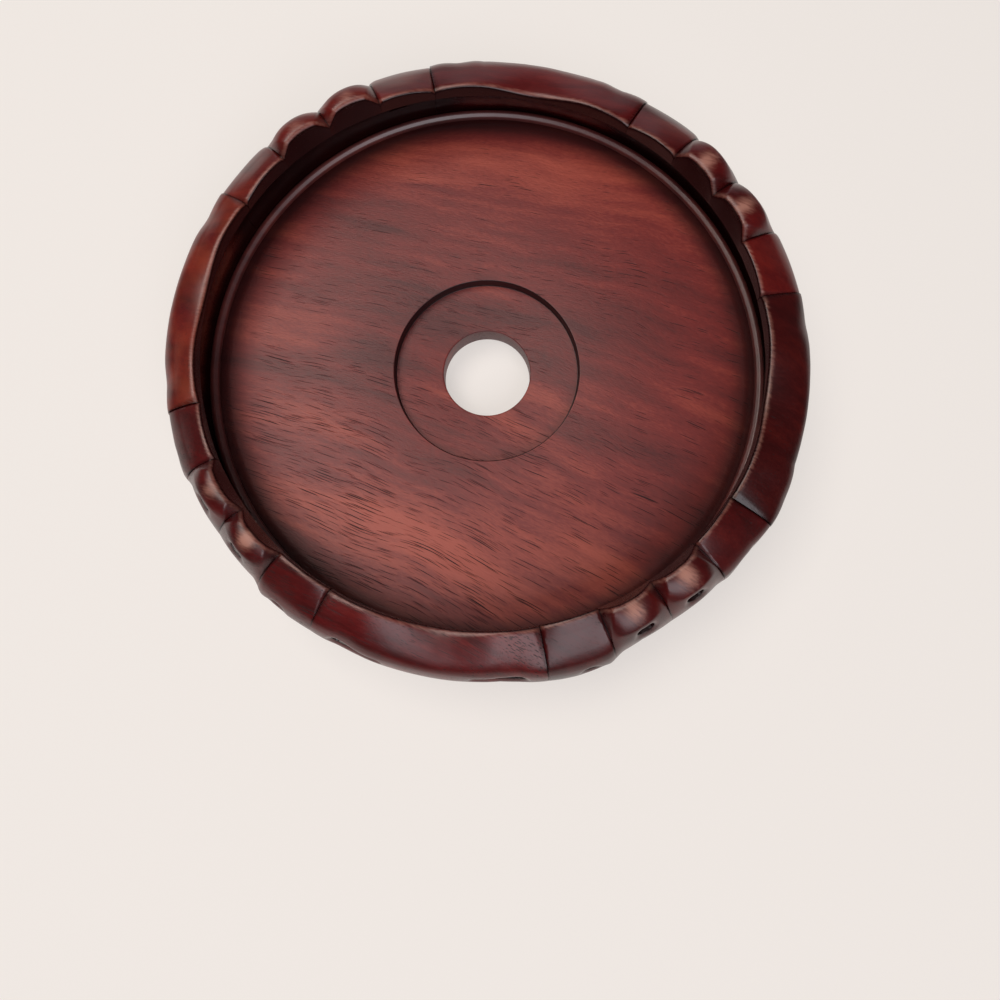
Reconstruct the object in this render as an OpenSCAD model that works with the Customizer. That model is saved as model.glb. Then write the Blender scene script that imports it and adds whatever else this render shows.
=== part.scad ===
// Round Chinese hardwood stand on four two-toed feet, in millimetres.
// It lies the way it is photographed: seat face down, feet up.
// z = 0 is the face of the seat lip, +Z runs from the seat to the feet, and the
// origin is on the axis. In use the stand is turned over, half a turn about X.

/* [Seat board] */
// Radius of the board
board_r = 78; // [70:0.5:86]
// Thickness of the board
board_t = 11.4; // [9:0.1:14]
// Diameter of the hole through the board
hole_d = 25.4; // [18:0.2:32]
// Diameter of the shallow counterbore round the hole, cut from the foot side
counterbore_d = 53.4; // [40:0.2:70]
// Depth of the counterbore
counterbore_depth = 3.7; // [2:0.1:5]

/* [Seat rim] */
// Depth of the seat well, from the lip's face to the board
well_depth = 3.6; // [2:0.1:5]
// Radius of the half-round moulding round the rim
moulding_r = 4.4; // [3.5:0.1:5]
// Radius of the hollow cut between the moulding and the apron
hollow_r = 1.7; // [1:0.1:2.2]
// Width of the bead that holds the board in
bead_w = 2.6; // [2:0.1:3.4]
// How far the bead stands above the board
bead_h = 1.7; // [1.3:0.1:2.4]
// How far the moulding stands in from the apron's fullest line
moulding_in = 0.8; // [0:0.1:2]
// How far the flange under the apron stands in from the fullest line
flange_in = 2.2; // [1:0.1:4]
// Thickness of the flange
flange_t = 2; // [1.5:0.1:3]

/* [Apron wall] */
// Thickness of the wall at its fullest
wall_t = 8.2; // [7:0.1:10]
// Height of the fullest line above the board
bulge_h = 7; // [5:0.5:9]
// Radius of the wall's bulge on the rails and shoulders
bulge_round = 15; // [13:0.5:18]
// How far the shoulders stand out past the rails
shoulder_proud = 0.2; // [0:0.1:1.5]
// How far the wall is drawn in at the toes
toe_drawn = 1.6; // [0:0.1:2.5]
// How far the wall's upright inner edge stands in from its foot, over the board
lean = 5.3; // [4:0.1:8]
// How far the inside of the toes stands back from the rest of the wall
toe_back = 0.3; // [0.1:0.1:0.6]
// Height above the board where the hollow inside ends and the upright edge starts
lip_h = 16; // [14:0.1:17]

/* [Carved edge] */
// Height of the toes above the board
toe_h = 23.5; // [20:0.1:28]
// Radius of a toe's dome
toe_round = 13; // [11:0.5:16]
// Height that the toe tips have lost by wear
toe_wear = 0.2; // [0.1:0.05:0.4]
// Angle that one toe takes up
toe_a = 11.6; // [10:0.1:13]
// Angle by which the toes lap over the shoulders
toe_lap = 0.4; // [0.2:0.1:0.8]
// Height of a shoulder's inner edge above the board
shoulder_h = 21.5; // [19:0.1:23]
// Slope of a shoulder's top, down towards the outside
shoulder_slope = 26; // [18:1:32]
// Radius of a shoulder's curve along the edge
shoulder_round = 30; // [24:1:40]
// Angle that one shoulder takes up
shoulder_a = 12; // [10:0.1:13]
// Height of a rail's inner edge above the board, near its ends
rail_h = 20.4; // [18:0.1:22]
// Radius of a rail's crests along the edge
rail_round = 32; // [26:1:40]
// Depth of the dip in the middle of a rail
rail_dip = 2.6; // [1.5:0.1:4]
// Angle from the middle of a rail to each of its crests
rail_crest_a = 14.2; // [12:0.2:16]
// Slope of a rail's top, down towards the outside
rail_slope = 16; // [8:1:24]

/* [Piercings] */
// Width of the slot sunk into the outside of each toe
toe_slot_w = 5; // [4:0.1:6]
// Height of that slot
toe_slot_h = 3; // [2:0.1:4]
// Distance of that slot below the toe tips
toe_slot_drop = 6; // [5:0.1:7]
// Depth of that slot into the wall
toe_slot_deep = 4.5; // [3:0.1:6]
// Diameter of the round end of each comma
comma_d = 4.2; // [3:0.1:5]
// Length of the comma on each shoulder
comma_l = 6; // [4.5:0.1:7.5]
// Height of that comma above the fullest line
comma_up = 3; // [2:0.1:4]
// Turn of its tail, down towards the toes
comma_turn = 25; // [10:1:40]
// Length of the comma slot on each end of a rail
rail_slot_l = 14; // [9:0.2:16]
// Height of that slot above the fullest line
rail_slot_up = 3.6; // [2.4:0.1:4.4]

/* [Joinery] */
// Thickness of the loose tenons
tenon_t = 2.6; // [2:0.1:3]
// Length of the tenons along the wall
tenon_l = 7; // [5:0.2:8]
// Height of the tenons
tenon_h = 8.6; // [6:0.2:10]
// Diameter of the pegs
peg_d = 3; // [2.4:0.1:3.4]
// Depth of the peg holes on each side of the joint
peg_depth = 6.5; // [4:0.1:7]
// Clearance on each side of a tenon, a peg or the board
fit = 0.1; // [0.05:0.05:0.2]
// Glue line between a foot and a rail
glue = 0.1; // [0.05:0.05:0.3]

/* [Hidden] */
$fn = 96;
FEET = [0, 1, 2, 3];
JOINTS = [0, 1, 2, 3, 4, 5, 6, 7];

// Levels
floor_z = well_depth + board_t;
bulge_z = floor_z + bulge_h;
wear_z = floor_z + toe_h;
inner_z = floor_z + 0.5 * bulge_h;

// Radii, from the board outwards
rim_in_r = board_r + fit;
bead_r = board_r + fit + 0.12 * bead_w;
land_r = bead_r + 0.5 * bead_w;
wall_r = land_r + 3 * fit;
out_r = wall_r + wall_t;
peg_r = wall_r + 0.39 * wall_t;
tenon_r = wall_r + 0.42 * wall_t;
edge_r = wall_r - lean;
toe_r = edge_r + 0.43 * wall_t;
flange_r = out_r - flange_in;

// How far cutters reach past the wood, and how long they are across the wall
over = wall_t + lean;
span = wall_t + lean + 2 * over;

// The wall's hollow inside: an arc from its foot to the start of the upright edge
edge_up = lip_h - 0.5 * bulge_h;
foot_up = 0.5 * bulge_h;
hollow_c = 0.5 * (wall_r + edge_r - (edge_up * edge_up - foot_up * foot_up) / lean);
hollow_round = sqrt(pow(wall_r - hollow_c, 2) + foot_up * foot_up);

// The toes' outer arc falls from the drawn-in bulge to the outside of the tips
toe_bulge_r = out_r - toe_drawn;
toe_fall = 0.55 * wall_t;
toe_up = toe_h - 0.26 * bulge_h - bulge_h;
toe_bulge_round = (toe_fall * toe_fall + toe_up * toe_up) / (2 * toe_fall);

// Where the slot in a toe meets that arc, and where it ends in the wood
toe_slot_up = toe_h - toe_slot_drop;
toe_face_r = toe_bulge_r - toe_bulge_round + sqrt(pow(toe_bulge_round, 2) - pow(toe_slot_up - bulge_h, 2));
toe_slot_r = toe_face_r - toe_slot_deep;

// Angles from the middle of a foot
shoulder_from = toe_a;
joint_a = toe_a + shoulder_a;
rail_a = 90 - 2 * joint_a;
shoulder_crest = shoulder_from + 0.33 * shoulder_a;

// A rail's edge: a bridge joins its two crests, and the dip's arc meets them a little above it
bridge_drop = 0.45 * rail_dip;
crest_run = (edge_r + 0.5 * wall_t) * sin(rail_crest_a);
crest_half = sqrt(bridge_drop * (2 * rail_round - bridge_drop));
dip_half = crest_run - crest_half + 0.2 * rail_dip;
dip_deep = rail_dip - bridge_drop;
dip_round = (dip_half * dip_half + dip_deep * dip_deep) / (2 * dip_deep);

foot_names = [for (i = FEET) str("foot_", i + 1)];
rail_names = [for (i = FEET) str("apron_rail_", i + 1)];
tenon_names = [for (i = JOINTS) str("tenon_", i + 1)];
peg_names = [for (i = JOINTS) str("peg_", i + 1)];

// Foot i stands at 45 degrees and every quarter turn on, and rail i follows it.
function foot_at(i) = 45 + 90 * i;
function rail_at(i) = 90 + 90 * i;

// Joint j is the start of foot j / 2 when j is even, and its end when j is odd.
function joint_at(j) = foot_at(floor(j / 2)) + (j % 2 == 0 ? -joint_a : joint_a);
function peg_at(j) = 45 + 45 * j;

// Section of the apron wall: a bulging outer arc, hollowed inside under an upright edge.
module wall_section(bulge, round, back) {
    difference() {
        intersection() {
            translate([bulge - round, bulge_z])
                circle(r = round);
            translate([edge_r + back, floor_z])
                square([span, toe_h + over]);
        }
        translate([hollow_c, inner_z])
            circle(r = hollow_round + back);
    }
}

// A piece of that wall between two angles, its inside set back.
module wall(from, to, bulge, round, back = 0) {
    rotate_extrude(start = from, angle = to - from)
        wall_section(bulge, round, back);
}

// A bar along the radius at angle a, under a line that slopes down from the rim's inner edge
// or, for a dip, over that line.
module crest(a, h, slope, round, dip = false) {
    rotate([0, 0, a])
        translate([edge_r, 0, floor_z + h])
            rotate([0, 90 + slope, 0])
                translate([dip ? -round : round, 0, -over])
                    cylinder(r = round, h = span);
}

// The head of a toe: a post with a domed top.
module toe_head(a) {
    dome_z = wear_z + toe_wear - toe_round;
    rotate([0, 0, a])
        translate([toe_r, 0, 0]) {
            translate([0, 0, dome_z])
                sphere(r = toe_round);
            cylinder(r = toe_round, h = dome_z);
        }
}

// The two toes: the drawn-in wall under two domes, their tips worn flat.
module toes() {
    difference() {
        intersection() {
            wall(-toe_a - toe_lap, toe_a + toe_lap, toe_bulge_r, toe_bulge_round, toe_back);
            union() {
                toe_head(-toe_a / 2);
                toe_head(toe_a / 2);
            }
        }
        translate([0, 0, wear_z])
            cylinder(r = out_r + over, h = over);
        toe_slope();
    }
}

// The inside of the toes leans back above the shoulders.
module toe_slope() {
    low = floor_z + 0.8 * toe_h;
    high = floor_z + 1.1 * toe_h;
    rotate_extrude()
        polygon([[0, low], [edge_r + toe_back, low], [edge_r + 0.15 * wall_t + toe_back, high], [0, high]]);
}

// One shoulder beside the toes: its top rolls over the edge and falls outwards.
module shoulder(side) {
    from = side > 0 ? shoulder_from : -joint_a;
    to = side > 0 ? joint_a : -shoulder_from;
    intersection() {
        wall(from, to, out_r + shoulder_proud, bulge_round);
        crest(side * shoulder_crest, shoulder_h, shoulder_slope, shoulder_round);
    }
}

// A cutter from the outside at angle a and height h above the board, right through the wall or
// in to a given radius.
module cutter(a, h, in_to = edge_r - over) {
    rotate([0, 0, a])
        translate([in_to, 0, floor_z + h])
            rotate([90, 0, 90])
                linear_extrude(height = span)
                    children();
}

// A slot with round ends.
module slot(w, h) {
    square([w - h, h], center = true);
    for (s = [-1, 1])
        translate([s * (w - h) / 2, 0])
            circle(d = h);
}

// A comma: a round head at the origin and a tail that narrows along +X.
module comma(d, l) {
    tip = d / 3;
    circle(d = d);
    polygon([[0, -d / 2], [l - d / 2 - tip / 2, -tip / 2], [l - d / 2 - tip / 2, tip / 2], [0, d / 2]]);
    translate([l - d / 2 - tip / 2, 0])
        circle(d = tip);
}

// The mortise or the tenon itself at a joint, larger all round by grow.
module tenon_block(a, grow) {
    l = tenon_l + 2 * grow;
    t = tenon_t + 2 * grow;
    low = floor_z + 0.45 * bulge_h;
    rotate([0, 0, a])
        translate([tenon_r - t / 2, -l / 2, low])
            cube([t, l, tenon_h + grow]);
}

// The hole or the peg itself, which stands in the rim and in the piece above it.
module peg_rod(a, grow) {
    rotate([0, 0, a])
        translate([peg_r, 0, floor_z - peg_depth])
            cylinder(d = peg_d + 2 * grow, h = 2 * peg_depth + (grow > 0 ? grow : -fit));
}

// A thin slice of wood taken off each side of a glue line.
module glue_line(a) {
    rotate([0, 0, a])
        translate([edge_r - over, -glue / 2, floor_z - over])
            cube([span, glue, toe_h + 2 * over]);
}

// Foot i: two toes between two shoulders, pierced, with a mortise in each end.
module foot(i) {
    color("#5a241f")
        rotate([0, 0, foot_at(i)])
            difference() {
                union() {
                    toes();
                    shoulder(-1);
                    shoulder(1);
                }
                for (s = [-1, 1]) {
                    cutter(s * 0.45 * toe_a, toe_slot_up, toe_slot_r)
                        slot(toe_slot_w, toe_slot_h);
                    cutter(s * (toe_a + 0.38 * shoulder_a), bulge_h + comma_up)
                        rotate(s > 0 ? 180 + comma_turn : -comma_turn)
                            comma(comma_d, comma_l);
                    tenon_block(s * joint_a, fit);
                    glue_line(s * joint_a);
                }
                peg_rod(0, fit);
            }
}

// The bridge between a rail's crests, under a plane with the slope of its top.
module bridge() {
    translate([edge_r, 0, floor_z + rail_h - bridge_drop])
        rotate([0, rail_slope, 0])
            translate([-over, -crest_run, -2 * rail_h])
                cube([span, 2 * crest_run, 2 * rail_h]);
}

// Rail i: a long edge with two low crests and a dip between them.
module apron_rail(i) {
    half = rail_a / 2;
    color("#62291f")
        rotate([0, 0, rail_at(i)])
            difference() {
                intersection() {
                    wall(-half, half, out_r, bulge_round);
                    union() {
                        crest(-rail_crest_a, rail_h, rail_slope, rail_round);
                        crest(rail_crest_a, rail_h, rail_slope, rail_round);
                        bridge();
                    }
                }
                crest(0, rail_h - rail_dip, rail_slope, dip_round, dip = true);
                for (s = [-1, 1]) {
                    cutter(s * 0.76 * half, bulge_h + rail_slot_up)
                        rotate(s > 0 ? 180 : 0)
                            comma(comma_d, rail_slot_l);
                    tenon_block(s * half, fit);
                    glue_line(s * half);
                }
                peg_rod(0, fit);
            }
}

// The seat board, with its hole and the counterbore on the foot side.
module seat_board() {
    color("#7a4038")
        difference() {
            translate([0, 0, well_depth])
                cylinder(r = board_r, h = board_t);
            translate([0, 0, well_depth - over])
                cylinder(d = hole_d, h = board_t + 2 * over);
            translate([0, 0, floor_z - counterbore_depth])
                cylinder(d = counterbore_d, h = counterbore_depth + over);
        }
}

// The turned rim: lip, half-round moulding, hollow, flange, and the bead over the board.
module rim_section() {
    nose_r = out_r - moulding_in - moulding_r;
    difference() {
        union() {
            translate([rim_in_r, 0])
                square([nose_r - rim_in_r, floor_z]);
            translate([nose_r, moulding_r])
                circle(r = moulding_r);
            translate([rim_in_r, moulding_r])
                square([flange_r - rim_in_r, floor_z - moulding_r]);
        }
        translate([flange_r + 0.4 * hollow_r, floor_z - flange_t - hollow_r])
            circle(r = hollow_r);
        translate([0, -over])
            square([rim_in_r, floor_z + over]);
    }
    bead_section();
}

// The bead: a half-round nose on the rim that laps over the board's edge.
module bead_section() {
    round = bead_w / 2;
    translate([bead_r, floor_z + bead_h - round])
        intersection() {
            circle(r = round);
            translate([-round, round - bead_h])
                square([bead_w, bead_h]);
        }
    translate([bead_r - round, floor_z])
        square([bead_w, bead_h - round]);
}

// The seat rim, drilled for the pegs.
module seat_rim() {
    color("#4a1a18")
        difference() {
            rotate_extrude()
                rim_section();
            for (j = JOINTS)
                peg_rod(peg_at(j), fit);
        }
}

// A loose tenon across joint j.
module tenon(j) {
    color("#8a5a3c")
        tenon_block(joint_at(j), 0);
}

// A peg between the rim and the foot or rail above it.
module peg(j) {
    color("#a87f50")
        peg_rod(peg_at(j), 0);
}

seat_board();
seat_rim();
for (i = FEET) foot(i);
for (i = FEET) apron_rail(i);
for (j = JOINTS) tenon(j);
for (j = JOINTS) peg(j);
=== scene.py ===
"""Dresses the turned-over hardwood stand: carved feet and rails, turned board and rim, studio.

The stand lies seat down with its feet up. Sizes are in millimetres until a mesh is made, and
angles are in degrees from the middle of the piece that they belong to.
"""

import logging
import math
from dataclasses import dataclass, field
from enum import Enum
from typing import Any, Optional, Sequence, Union

import bmesh
import bpy
import numpy as np
from mathutils import Matrix, Vector


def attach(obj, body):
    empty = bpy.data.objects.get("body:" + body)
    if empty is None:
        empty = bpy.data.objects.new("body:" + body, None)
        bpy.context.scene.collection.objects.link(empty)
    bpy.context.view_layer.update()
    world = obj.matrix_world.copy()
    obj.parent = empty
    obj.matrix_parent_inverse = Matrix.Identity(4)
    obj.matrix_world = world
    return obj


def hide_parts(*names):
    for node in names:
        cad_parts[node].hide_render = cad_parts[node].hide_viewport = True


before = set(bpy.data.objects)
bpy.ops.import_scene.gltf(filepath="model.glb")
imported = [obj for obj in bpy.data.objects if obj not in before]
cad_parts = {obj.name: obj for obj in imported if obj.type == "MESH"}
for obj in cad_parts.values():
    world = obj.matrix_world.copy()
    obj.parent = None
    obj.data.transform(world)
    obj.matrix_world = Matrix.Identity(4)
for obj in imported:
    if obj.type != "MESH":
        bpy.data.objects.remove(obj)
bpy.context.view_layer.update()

LOG = logging.getLogger("stand")
MM = 0.001
FLOOR = 15.0  # height of the board's foot side over the lip's face
EDGE_R = 79.0  # radius on the rim's top, to turn angles into lengths
WALL_R = 86.5  # radius on the outside of the wall, for the same
SAW_R = 96.0  # radius outside the wall, where the saw starts
PHOTO_TURN = 10.5  # the stand is turned this far from the photograph's own left and right
FROM_PHOTO = Matrix.Rotation(math.radians(PHOTO_TURN), 3, "Z")

Array = np.ndarray
Node = bpy.types.Node
Tree = bpy.types.NodeTree
Socket = bpy.types.NodeSocket
Source = Union[Node, Socket]  # a node stands for its first output
Flow = tuple[Source, Source, Source]  # distance along, across and through the wood
Mesh = bpy.types.Mesh
Material = bpy.types.Material
Edge = tuple[Array, Array]
Outline = list[tuple[float, float]]
Stops = Sequence[tuple[float, str]]

MADD = "ShaderNodeMath:MULTIPLY_ADD"
TIMES = "ShaderNodeMath:MULTIPLY"
SUM = "ShaderNodeMath:ADD"
LARGER = "ShaderNodeMath:MAXIMUM"
V_TIMES = "ShaderNodeVectorMath:MULTIPLY"
V_SCALE = "ShaderNodeVectorMath:SCALE"
V_DOT = "ShaderNodeVectorMath:DOT_PRODUCT"
V_LENGTH = "ShaderNodeVectorMath:LENGTH"
NOISE = "ShaderNodeTexNoise"
RANGE = "ShaderNodeMapRange"
PLACE = "ShaderNodeTexCoord"
SEPARATE = "ShaderNodeSeparateXYZ"
RAMP = "ShaderNodeValToRGB"
MIX = "ShaderNodeMix"
BUMP = "ShaderNodeBump"
SURFACE = "ShaderNodeBsdfPrincipled"
MATERIAL_OUT = "ShaderNodeOutputMaterial"


def linear(colour: str) -> tuple[float, float, float, float]:
    """Turns an sRGB hex colour into linear values.

    Args:
        colour: six hex digits after a hash sign.

    Returns:
        Red, green, blue and an alpha of one.
    """
    parts = [int(colour[i : i + 2], 16) / 255 for i in (1, 3, 5)]
    lin = [p / 12.92 if p <= 0.04045 else ((p + 0.055) / 1.055) ** 2.4 for p in parts]
    return (lin[0], lin[1], lin[2], 1.0)


def add(tree: Tree, kind: str, links: Optional[dict] = None, stops: Stops = (), **settings: Any) -> Node:
    """Adds one node to a tree.

    Args:
        tree: the tree that gets the node.
        kind: the node's type, with its operation after a colon where it has one.
        links: input name or index to an output, to a node for its first output, or to a plain value.
        stops: places and sRGB hex colours on the node's colour ramp, where it has one.
        settings: the node's own properties.

    Returns:
        The new node.
    """
    name, _, operation = kind.partition(":")
    made = tree.nodes.new(name)
    if operation:
        made.operation = operation
    for key, value in settings.items():
        setattr(made, key, value)
    for key, value in (links or {}).items():
        if isinstance(value, Node):
            value = value.outputs[0]
        if isinstance(value, Socket):
            tree.links.new(value, made.inputs[key])
        else:
            made.inputs[key].default_value = value
    for i, (place, colour) in enumerate(stops):
        bar = made.color_ramp.elements
        stop = bar[i] if i < len(bar) else bar.new(place)
        stop.position = place
        stop.color = linear(colour)
    return made


def blank(name: str) -> tuple[Material, Tree]:
    """Makes a material with an empty tree."""
    mat = bpy.data.materials.new(name)
    mat.use_nodes = True
    mat.node_tree.nodes.clear()
    return mat, mat.node_tree


def smooth(low: float, high: float, x: Array) -> Array:
    """Rises smoothly from 0 at low to 1 at high."""
    t = np.clip((x - low) / (high - low), 0.0, 1.0)
    return t * t * (3 - 2 * t)


def bell(x: Array, wide: float) -> Array:
    """Falls smoothly to both sides, from 1 at 0 to about a third at the given width."""
    return np.exp(-((x / wide) ** 2))


class Wood(Enum):
    """The two ways the stand's wood is finished."""

    OILED = "oiled"
    STAINED = "stained"


@dataclass(frozen=True)
class Rosewood:
    """Rosewood under oil or dark stain: long open pores, cloudy red bands, a soft wax gloss.

    The pores are vessels cut along their length, so each shows as a dark dash of a few
    millimetres. The widest are drawn about 0.2 mm wide, so that they show.
    """

    name: str
    kind: Wood
    dark: str
    mid: str
    light: str
    # Colour of the pores, and also of the painted shade at the board's edge and at the counterbore's step.
    pore: str
    gloss: float
    band_mm: float = 9.0
    pore_mm: tuple[tuple[float, float], ...] = ((15.0, 0.46), (9.0, 0.36))
    pore_share: float = -0.11
    pore_crowd: float = 0.34
    pore_nearer: float = -0.0012
    pore_depth: float = 0.35
    mirror: float = 0.5
    # Bare wood, for the worn places and for the painted highlight on the edges and toe tips.
    bare: str = "#b07a6a"
    # Paler tone painted on the pieces on the lit side: painted light.
    lit_side_tone: str = "#8e3c26"
    # The hollow's black: dark stain with painted shade.
    stain_and_shade: str = "#150506"
    # Painted shade at the board's edge, under the wall, and at the counterbore's step.
    edge_shade_mm: tuple[float, float] = (69.2, 76.6)
    edge_shade_share: float = 0.86
    step_shade_mm: float = 26.7
    step_shade_wide_mm: float = 0.22
    rub_mm: float = 7.0
    pore_deep_mm: float = 0.3
    droop: tuple[float, float] = (0.33, -0.003)
    wave_mm: tuple[float, float] = (30.0, 6.0)
    wax: float = 0.18
    streaks: tuple[tuple[float, ...], ...] = ()

    def build(self) -> Material:
        """Builds the material.

        Returns:
            The finished material.
        """
        mat, tree = blank(self.name)
        flow = self._flow(tree)
        colour, rough, height = self._wood(tree, flow)
        deep = {"Strength": self.pore_depth, "Distance": self.pore_deep_mm * MM}
        bump = add(tree, BUMP, {"Height": height, **deep})
        gloss = {"Normal": bump, "IOR": 1.52, "Specular IOR Level": self.mirror}
        shader = add(tree, SURFACE, gloss)
        if self.kind is Wood.STAINED:
            colour, rough, coat = self._wear(tree, flow, colour, rough)
            shader.inputs["Coat Roughness"].default_value = 0.3
            tree.links.new(coat, shader.inputs["Coat Weight"])
        else:
            # The oiled board gets painted shade at its edge and at the counterbore's step.
            colour = self._edge_shade(tree, colour)
        tree.links.new(colour, shader.inputs["Base Color"])
        tree.links.new(rough, shader.inputs["Roughness"])
        add(tree, MATERIAL_OUT, {"Surface": shader})
        return mat

    def _flow(self, tree: Tree) -> Flow:
        """Lays the grain: it runs left to right in the photograph and droops towards the near edge.

        Args:
            tree: the material's tree.

        Returns:
            Distance along the grain, across it, and through the wood, in millimetres.
        """
        place = add(tree, PLACE).outputs["Object"]
        turn = {"Rotation": (0.0, 0.0, math.radians(-PHOTO_TURN)), "Scale": (1 / MM, 1 / MM, 1 / MM)}
        turned = add(tree, "ShaderNodeMapping", {"Vector": place, **turn})
        along, across, deep = add(tree, SEPARATE, {"Vector": turned}).outputs
        slope = add(tree, MADD, {0: across, 1: self.droop[1], 2: self.droop[0]})
        drooped = add(tree, MADD, {0: slope, 1: along, 2: across})
        wave = add(tree, NOISE, {"Vector": turned, "Scale": 1 / self.wave_mm[0], "Detail": 1.0})
        return along, add(tree, MADD, {0: wave, 1: self.wave_mm[1], 2: drooped}), deep

    def _drawn(self, tree: Tree, flow: Flow, long: float, wide: float, seed: float = 0.0) -> Source:
        """Draws the wood's space out along the grain.

        Args:
            tree: the material's tree.
            flow: the wood's own axes.
            long: length along the grain that becomes one unit.
            wide: width that becomes one unit.
            seed: shifts the pattern.

        Returns:
            The place in that space.
        """
        sizes = (long, wide, wide)
        scaled = [add(tree, MADD, {0: axis, 1: 1 / size, 2: seed}) for axis, size in zip(flow, sizes)]
        return add(tree, "ShaderNodeCombineXYZ", dict(enumerate(scaled)))

    def _streak(
        self, tree: Tree, flow: Flow, long: float, wide: float, detail: float, seed: float
    ) -> Source:
        """Draws noise out along the grain.

        Args:
            tree: the material's tree.
            flow: the wood's own axes.
            long: length of a streak in millimetres.
            wide: width of a streak in millimetres.
            detail: octaves of the noise.
            seed: shifts the pattern.

        Returns:
            A value from 0 to 1.
        """
        at = self._drawn(tree, flow, long, wide, seed)
        return add(tree, NOISE, {"Vector": at, "Scale": 1.0, "Detail": detail, "Roughness": 0.55})

    def _wood(self, tree: Tree, flow: Flow) -> tuple[Socket, Socket, Socket]:
        """Draws bands, fibres and pores.

        Args:
            tree: the material's tree.
            flow: the wood's own axes.

        Returns:
            Colour, roughness and height.
        """
        bands = self._streak(tree, flow, long=110.0, wide=self.band_mm, detail=2.0, seed=3.1)
        clouds = self._streak(tree, flow, long=60.0, wide=26.0, detail=2.0, seed=5.3)
        flames = self._streak(tree, flow, long=20.0, wide=3.0, detail=2.0, seed=17.9)
        fibres = self._streak(tree, flow, long=1.7, wide=0.45, detail=3.0, seed=11.7)
        tone: Any = 0.025
        for layer, weight in ((clouds, 0.3), (flames, 0.2), (bands, 0.3)):
            tone = add(tree, MADD, {0: layer, 1: weight, 2: tone})
        for along, across, long, half, paler in self.streaks:
            spread = []
            for axis, middle, size in zip(flow, (along, across), (long, half)):
                off = add(tree, MADD, {0: axis, 1: 1 / size, 2: -middle / size})
                spread.append(add(tree, TIMES, {0: off, 1: off}))
            square = add(tree, SUM, {0: spread[0], 1: spread[1]})
            fall = add(tree, "ShaderNodeMath:POWER", {0: math.exp(-1), 1: square})
            tone = add(tree, MADD, {0: fall, 1: paler, 2: tone})
        tone = add(tree, MADD, {0: fibres, 1: 0.15, 2: tone})
        stops = ((0.38, self.dark), (0.5, self.mid), (0.63, self.light))
        colour = add(tree, RAMP, {"Fac": tone}, stops)
        pores = self._pores(tree, flow)
        ink = {"Factor": pores, 6: colour, 7: linear(self.pore)}
        inked = add(tree, MIX, ink, data_type="RGBA").outputs[2]
        matt = add(tree, MADD, {0: pores, 1: 0.3, 2: self.gloss - 0.06})
        rough = add(tree, MADD, {0: fibres, 1: 0.12, 2: matt})
        raised = add(tree, TIMES, {0: fibres, 1: 0.6})
        height = add(tree, MADD, {0: pores, 1: -1.0, 2: raised})
        return inked, rough.outputs[0], height.outputs[0]

    def _pores(self, tree: Tree, flow: Flow) -> Source:
        """Draws the pores: thin spindles of unequal length that crowd in patches and towards the near edge.

        Args:
            tree: the material's tree.
            flow: the wood's own axes.

        Returns:
            A value of 1 in a pore and 0 in the wood.
        """
        crowd = self._streak(tree, flow, long=26.0, wide=12.0, detail=1.0, seed=31.3)
        nearer = add(tree, MADD, {0: flow[1], 1: self.pore_nearer, 2: self.pore_share})
        patch = add(tree, MADD, {0: crowd, 1: self.pore_crowd, 2: nearer})
        every = []
        for long, wide in self.pore_mm:
            drawn = self._drawn(tree, flow, long, wide)
            cells = add(tree, "ShaderNodeTexVoronoi", {"Vector": drawn, "Scale": 1.0})
            own = add(tree, SEPARATE, {"Vector": cells.outputs["Color"]})
            reach = add(tree, MADD, {0: own, 1: 0.2, 2: patch})
            inside = add(tree, "ShaderNodeMath:SUBTRACT", {0: reach, 1: cells.outputs["Distance"]})
            every.append(add(tree, TIMES, {0: inside, 1: 12.0}, use_clamp=True))
        return add(tree, LARGER, dict(enumerate(every)))

    def _edge_shade(self, tree: Tree, colour: Source) -> Socket:
        """Paints shade on the board towards its edge, under the wall, and a thin line of painted shade at
        the counterbore's step.

        Args:
            tree: the material's tree.
            colour: the oiled wood's colour.

        Returns:
            The colour.
        """
        place = add(tree, PLACE).outputs["Object"]
        flat = add(tree, V_TIMES, {0: place, 1: (1.0, 1.0, 0.0)})
        far = add(tree, V_LENGTH, {0: flat}).outputs["Value"]
        start, stop = (mm * MM for mm in self.edge_shade_mm)
        limits = {"From Min": start, "From Max": stop, "To Max": self.edge_shade_share}
        # Painted shade rising towards the board's edge, under the wall.
        run = add(tree, RANGE, {"Value": far, **limits}, interpolation_type="SMOOTHSTEP")
        # A thin line of painted shade at the counterbore's step.
        step = add(tree, "ShaderNodeMath:COMPARE", {0: far, 1: self.step_shade_mm * MM, 2: self.step_shade_wide_mm * MM})
        dark = add(tree, LARGER, {0: run, 1: step})
        # Mixes the painted shade in, in the pores' colour.
        stain = {"Factor": dark, 6: colour, 7: linear(self.pore)}
        return add(tree, MIX, stain, data_type="RGBA").outputs[2]

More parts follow.
